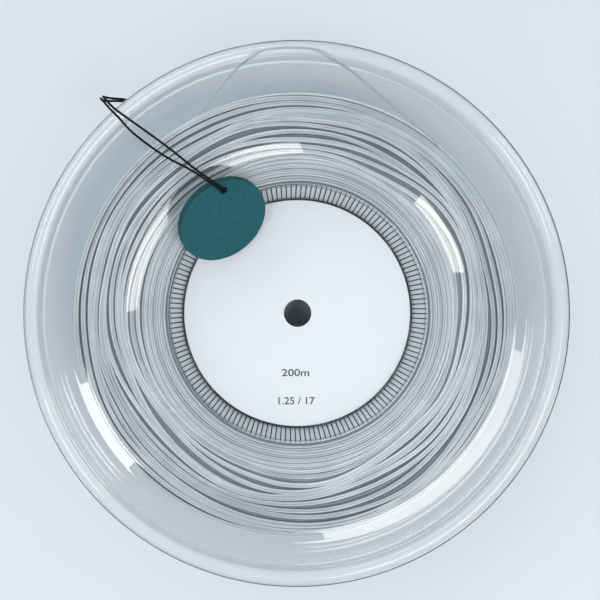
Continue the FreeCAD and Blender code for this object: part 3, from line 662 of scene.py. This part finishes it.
# Wound string
# About two hundred metres of monofilament wound between the flanges. Against each flange its
# turns wander and cross, some pressed on the plastic and some a turn deeper. The last layer is
# one open helix whose end is the free end.
def winding_face_tree():
    """Turns that lie against a flange, each at its own radius and depth, all a little wavy."""
    tree, given, result = tree_of_geometry("winding_face", {
        "Turns": "Int", "Inner Radius": "Float", "Outer Radius": "Float", "Diameter": "Float",
        "Pair Spread": "Float", "Step Down": "Float", "Points": "Int", "Sides": "Int",
        "Wander": "Float", "Own Wander": "Float", "Least Depth": "Float", "Most Depth": "Float",
        "Seed": "Float", "Side": "Float", "Off Centre": "Vector", "Material": "Material"})
    asked = given.outputs
    starts = put(tree, "GeometryNodeMeshLine", {"Count": asked["Turns"], "Offset": (0, 0, 0)})
    ring = put(tree, "GeometryNodeCurvePrimitiveCircle", {
        "Resolution": asked["Points"], "Radius": 1.0})
    rings = put(tree, "GeometryNodeInstanceOnPoints", {
        "Points": starts.outputs[0], "Instance": ring.outputs[0]})
    numbered = put(tree, "GeometryNodeStoreNamedAttribute", {
        "Geometry": rings.outputs[0], "Name": "turn",
        "Value": tree.nodes.new("GeometryNodeInputIndex").outputs[0]},
        data_type="FLOAT", domain="INSTANCE")
    whole = put(tree, "GeometryNodeRealizeInstances", {"Geometry": numbered.outputs[0]})
    turn = put(tree, "GeometryNodeInputNamedAttribute", {"Name": "turn"},
               data_type="FLOAT").outputs["Attribute"]
    pair = reckon(tree, "FLOOR", reckon(tree, "DIVIDE", turn, 2.0))
    last = reckon(tree, "SUBTRACT", reckon(tree, "DIVIDE", asked["Turns"], 2.0), 1.0)
    odd = reckon(tree, "SUBTRACT", turn, reckon(tree, "MULTIPLY", pair, 2.0))
    in_pair = reckon(tree, "SUBTRACT", odd, 0.5)
    base = mapped(tree, pair, (0.0, last), (asked["Inner Radius"], asked["Outer Radius"]))
    on_circle = tree.nodes.new("GeometryNodeInputPosition").outputs[0]

    def wave(scale, third, shift):
        """Smooth noise round the circle, about zero, for a third coordinate and a shift."""
        lift = reckon(tree, "ADD", third, reckon(tree, "ADD", asked["Seed"], shift))
        stretched = scaled(tree, on_circle, scale)
        lifted = put(tree, "ShaderNodeCombineXYZ", {"Z": lift})
        where = reckon_vector(tree, "ADD", stretched, lifted.outputs[0])
        noise = put(tree, "ShaderNodeTexNoise", {"Vector": where, "Scale": 1.0, "Detail": 1.0})
        return reckon(tree, "SUBTRACT", noise.outputs[0], 0.5)

    # How far each turn wanders from its radius, less at the winding's two edges
    shared = wave(0.8, reckon(tree, "MULTIPLY", base, 90.0), 0.0)
    own = wave(0.9, reckon(tree, "MULTIPLY", base, 1900.0), 31.0)
    share = reckon(tree, "DIVIDE", pair, last)
    from_edges = reckon(tree, "MULTIPLY", share, reckon(tree, "SUBTRACT", 1.0, share))
    freedom = reckon(tree, "MINIMUM", 1.0,
                     reckon(tree, "ADD", 0.1, reckon(tree, "MULTIPLY", 5.0, from_edges)))
    sway = reckon(tree, "ADD", reckon(tree, "MULTIPLY", shared, asked["Wander"]),
                  reckon(tree, "MULTIPLY", own, asked["Own Wander"]))
    wandered = reckon(tree, "ADD", base, reckon(tree, "MULTIPLY", freedom, sway))
    middle = reckon(tree, "MAXIMUM", asked["Inner Radius"],
                    reckon(tree, "MINIMUM", asked["Outer Radius"], wandered))
    beside = reckon(tree, "MULTIPLY", in_pair, asked["Pair Spread"])
    radius = reckon(tree, "ADD", middle, beside)

    # The height of the flange's inner face there, and how deep below it each turn lies
    climb = mapped(tree, radius, (0.0782, 0.0870), (0.0344, 0.0370),
                   interpolation_type="SMOOTHSTEP")
    drop = mapped(tree, radius, (0.1062, 0.1136), (0.0, 0.0012), interpolation_type="SMOOTHSTEP")
    deep = wave(1.1, reckon(tree, "MULTIPLY", turn, 3.7), 77.0)
    depth = mapped(tree, deep, (-0.22, 0.22), (asked["Least Depth"], asked["Most Depth"]))
    second = reckon(tree, "MULTIPLY", reckon(tree, "ADD", in_pair, 0.5), asked["Step Down"])
    loose = wave(0.9, reckon(tree, "MULTIPLY", base, 700.0), 55.0)
    sunk = reckon(tree, "MULTIPLY", second, mapped(tree, loose, (-0.12, 0.12), (0.15, 1.0)))
    lowered = reckon(tree, "ADD", reckon(tree, "ADD", depth, sunk),
                     reckon(tree, "DIVIDE", asked["Diameter"], 2.0))
    height = reckon(tree, "SUBTRACT", reckon(tree, "SUBTRACT", climb, drop), lowered)
    from_middle = reckon(tree, "SUBTRACT", height, middle_height)
    mirrored = reckon(tree, "ADD", middle_height,
                      reckon(tree, "MULTIPLY", asked["Side"], from_middle))

    # The turns laid there, the outer ones a little off centre
    flat = scaled(tree, on_circle, radius)
    level = put(tree, "ShaderNodeCombineXYZ", {"Z": mirrored})
    aside = scaled(tree, asked["Off Centre"], mapped(tree, base, (0.075, 0.108)))
    centred = reckon_vector(tree, "ADD", flat, level.outputs[0])
    place = reckon_vector(tree, "ADD", centred, aside)
    laid = put(tree, "GeometryNodeSetPosition", {"Geometry": whole.outputs[0], "Position": place})
    return string_tube(tree, given, result, laid.outputs[0], turn)


def string_tube(tree, given, result, line, number):
    """The end of a winding tree: round string along a line, with a tone for each turn."""
    section = put(tree, "GeometryNodeCurvePrimitiveCircle", {
        "Resolution": given.outputs["Sides"],
        "Radius": reckon(tree, "DIVIDE", given.outputs["Diameter"], 2.0)})
    tone = put(tree, "ShaderNodeTexWhiteNoise", {"W": number}, noise_dimensions="1D").outputs["Value"]
    toned = put(tree, "GeometryNodeStoreNamedAttribute", {
        "Geometry": line, "Name": "tone", "Value": tone}, data_type="FLOAT", domain="POINT")
    tube = put(tree, "GeometryNodeCurveToMesh", {
        "Curve": toned.outputs[0], "Profile Curve": section.outputs[0], "Fill Caps": True})
    smooth = put(tree, "GeometryNodeSetShadeSmooth", {"Geometry": tube.outputs[0]})
    whole = put(tree, "GeometryNodeRealizeInstances", {"Geometry": smooth.outputs[0]})
    finished = put(tree, "GeometryNodeSetMaterial", {
        "Geometry": whole.outputs[0], "Material": given.outputs["Material"]})
    tree.links.new(finished.outputs[0], result.inputs[0])
    return tree


def winding_layer_tree():
    """One layer as an open helix, its turns a little uneven away from its two ends."""
    tree, given, result = tree_of_geometry("winding_layer", {
        "Turns": "Float", "Radius": "Float", "Low": "Float", "High": "Float",
        "Start Angle": "Float", "Diameter": "Float", "Points": "Int", "Sides": "Int",
        "Wander": "Float", "Seed": "Float", "Material": "Material"})
    asked = given.outputs
    rise = reckon(tree, "SUBTRACT", asked["High"], asked["Low"])
    helix = put(tree, "GeometryNodeCurveSpiral", {
        "Resolution": asked["Points"], "Rotations": asked["Turns"],
        "Start Radius": asked["Radius"], "End Radius": asked["Radius"], "Height": rise})
    lift = put(tree, "ShaderNodeCombineXYZ", {"Z": asked["Low"]})
    turn = put(tree, "ShaderNodeCombineXYZ", {"Z": asked["Start Angle"]})
    placed = put(tree, "GeometryNodeTransform", {
        "Geometry": helix.outputs[0], "Translation": lift.outputs[0], "Rotation": turn.outputs[0]})
    along = tree.nodes.new("GeometryNodeSplineParameter").outputs["Factor"]
    passed = reckon(tree, "MULTIPLY", along, asked["Turns"])
    noise = put(tree, "ShaderNodeTexNoise", {
        "W": reckon(tree, "ADD", passed, asked["Seed"]), "Scale": 2.3, "Detail": 1.0},
        noise_dimensions="1D")
    left = reckon(tree, "SUBTRACT", 1.0, along)
    from_ends = reckon(tree, "MULTIPLY", reckon(tree, "MULTIPLY", along, left), 4.0)
    sway = reckon(tree, "MULTIPLY", reckon(tree, "SUBTRACT", noise.outputs[0], 0.5),
                  reckon(tree, "MULTIPLY", asked["Wander"], from_ends))
    offset = put(tree, "ShaderNodeCombineXYZ", {"Z": sway})
    laid = put(tree, "GeometryNodeSetPosition", {
        "Geometry": placed.outputs[0], "Offset": offset.outputs[0]})
    return string_tube(tree, given, result, laid.outputs[0], reckon(tree, "FLOOR", passed))


def wound(name, tree, values):
    """A piece of the winding from its tree and sizes."""
    piece = grow(new_object(name, bpy.data.meshes.new(name)), tree, {
        "Diameter": string_diameter, "Material": monofilament, **values})
    piece = plain_mesh(piece, name)
    face_outward(piece.data)
    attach(piece, "reel")
    return piece


winding_face = winding_face_tree()
winding_layer = winding_layer_tree()
face_layers = {
    # Painted darker than the pressed turns, as painted shade beside the cup.
    "neat": {
        "Turns": 8, "Inner Radius": 0.0672, "Outer Radius": 0.0746, "Pair Spread": 0.00130,
        "Step Down": 0.0001, "Wander": 0.0010, "Own Wander": 0.0006, "Least Depth": 0.0,
        "Most Depth": 0.0001, "Material": inner_string_painted_shade},
    "pressed": {
        "Turns": 30, "Inner Radius": 0.0766, "Outer Radius": 0.1082, "Pair Spread": 0.00114,
        "Step Down": 0.0009, "Wander": 0.018, "Own Wander": 0.0035, "Least Depth": 0.0,
        "Most Depth": 0.0002, "Material": monofilament},
    # These turns are painted darker than the pressed ones, as painted shade.
    "deeper": {
        "Turns": 24, "Inner Radius": 0.0730, "Outer Radius": 0.1080, "Pair Spread": 0.00130,
        "Step Down": 0.0002, "Wander": 0.018, "Own Wander": 0.002, "Least Depth": 0.0012,
        "Most Depth": 0.0017, "Material": deep_string_painted_shade},
}
for flange, side, seed in (("front", 1.0, 3.0), ("rear", -1.0, 47.0)):
    for layer, values in face_layers.items():
        wound("%s_%s_turns" % (flange, layer), winding_face, {
            "Points": 240, "Sides": 10, "Seed": seed, "Side": side,
            "Off Centre": (-0.0014, -0.0014, 0), **values})
last_layer = wound("last_layer", winding_layer, {
    "Turns": 15.5, "Radius": 0.10899, "Low": 0.00532, "High": 0.03468,
    "Start Angle": math.radians(229.4), "Points": 220, "Sides": 8, "Wander": 0.0008, "Seed": 5.0})
wound("layer_below", winding_layer, {
    "Turns": 21.5, "Radius": 0.1078, "Low": 0.0054, "High": 0.0346,
    "Start Angle": 0.4, "Points": 160, "Sides": 6, "Wander": 0.0006, "Seed": 19.0})
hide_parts("string_outer_turns")

# On the drum side the core has the string's own pale grey. Further out it is painted dark, as painted
# shade under the turns.
packed_core_painted_shade, tree, shader = new_material("packed_core_painted_shade")
from_middle = reckon_vector(
    tree, "MULTIPLY", tree.nodes.new("ShaderNodeTexCoord").outputs["Object"], (1, 1, 0))
outward = put(tree, "ShaderNodeVectorMath", {0: from_middle}, operation="LENGTH")
beyond_drum = mapped(tree, outward.outputs["Value"], (0.0638, 0.0645))
pack_painted_shade = blended(tree, beyond_drum, (0.60, 0.64, 0.67), (0.21, 0.24, 0.26))
tree.links.new(pack_painted_shade, shader.inputs["Base Color"])
tree.links.new(variation(tree, 900, 2, 0.35, 0.5), shader.inputs["Roughness"])
front_side = [(0.0592, 0.0200), (0.0651, 0.0340), (0.0656, 0.0336), (0.0720, 0.0328),
              (0.0778, 0.0326), (0.0868, 0.0350), (0.1050, 0.0350), (0.1074, 0.0344)]
core_line = [Vector(place) for place in front_side]
core_line += [Vector((radius, overall_thickness - height))
              for radius, height in reversed(front_side[1:])]
core_columns = 180
core = turned_mesh("packed_core", core_line,
                   [math.tau * step / core_columns for step in range(core_columns)])
core.data.materials.append(packed_core_painted_shade)
finish_edges(core, angle=30)
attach(core, "reel")
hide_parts("string_pack")


# Hang tag
# A round tag die-cut from thick board, dyed dark teal right through and pressed smooth on its
# faces. It leans in the cup with its back on the cup's mouth. Both faces are plain.
tag_facing = (0.45376, -0.56035, 0.69291)
dyed_board, tree, shader = new_material("dyed_board")
board_shade = blended(tree, variation(tree, 500, 4, 0, 1),
                      (0.007, 0.094, 0.114), (0.014, 0.114, 0.139))
# Painted shade: where the surface turns away from the tag's faces, on its side wall, the board is
# painted up to half as dark.
facing = put(tree, "ShaderNodeVectorMath", {
    0: tree.nodes.new("ShaderNodeTexCoord").outputs["Normal"], 1: tag_facing},
    operation="DOT_PRODUCT")
turned_to_face = reckon(tree, "ABSOLUTE", facing.outputs["Value"])
edge_painted_shade = mapped(tree, turned_to_face, (0.15, 0.6), (0.5, 1.0))
tree.links.new(scaled(tree, board_shade, edge_painted_shade), shader.inputs["Base Color"])
shader.inputs["Specular IOR Level"].default_value = 0.2
tree.links.new(variation(tree, 900, 3, 0.42, 0.62), shader.inputs["Roughness"])
add_relief(tree, shader, variation(tree, 2600, 4, 0, 1), 0.00005, 0.5)
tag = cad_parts["hang_tag"]
tag.material_slots[0].material = dyed_board


# Knot
# Behind the tag both ends of the cord go through its hole and are tied in one overhand knot,
# which is too large for the hole and sits in its edge. Two short tails stick out of it.
hole_place = Vector((-0.036538, 0.059422, 0.052930))
face_normal = Vector(tag_facing)
hole_sideways = Vector((-0.777146, -0.629320, 0.0))
hole_upward = hole_sideways.cross(face_normal)


def on_tag(sideways, upward, out):
    """A place given from the tag's hole, sideways, up the tag and out of its face."""
    return hole_place + hole_sideways * sideways + hole_upward * upward + face_normal * out


knot_depth = -0.0062
knot_radius = 0.00058
knot_rise = 0.0009
knot_steps = 28
first_step = 1.2
knot_places = []
for step in range(knot_steps - 1):
    turn = math.tau * (step + first_step) / knot_steps
    knot_places.append(on_tag(
        knot_radius * (math.sin(turn) + 2 * math.sin(2 * turn)),
        knot_radius * (math.cos(turn) - 2 * math.cos(2 * turn)),
        knot_depth - knot_rise * math.sin(3 * turn)))
strands = [
    [Vector(cord_places[0]), on_tag(-0.0006, 0, -0.0025), on_tag(-0.0006, 0, -0.0044),
     *knot_places],
    [Vector(cord_places[-1]), on_tag(0.0006, 0, -0.0025), on_tag(0.0005, 0.0002, -0.0046),
     on_tag(0.0003, 0.0002, -0.0062), on_tag(0.0004, -0.0008, -0.0076),
     on_tag(0.0012, -0.0022, -0.0080)],
]
knot_parts = []
for number, places in enumerate(strands):
    line = smooth_line("knot_line", [tuple(place) for place in places])
    part = grow(line, twisted_cord, plied_cord)
    knot_parts.append(plain_mesh(part, "knot_strand_%d" % number))
bpy.ops.object.select_all(action="DESELECT")
for part in knot_parts:
    part.select_set(True)
bpy.context.view_layer.objects.active = knot_parts[0]
bpy.ops.object.join()
knot = knot_parts[0]
knot.name = "overhand_knot"
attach(knot, "tag")
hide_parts("tag_knot")
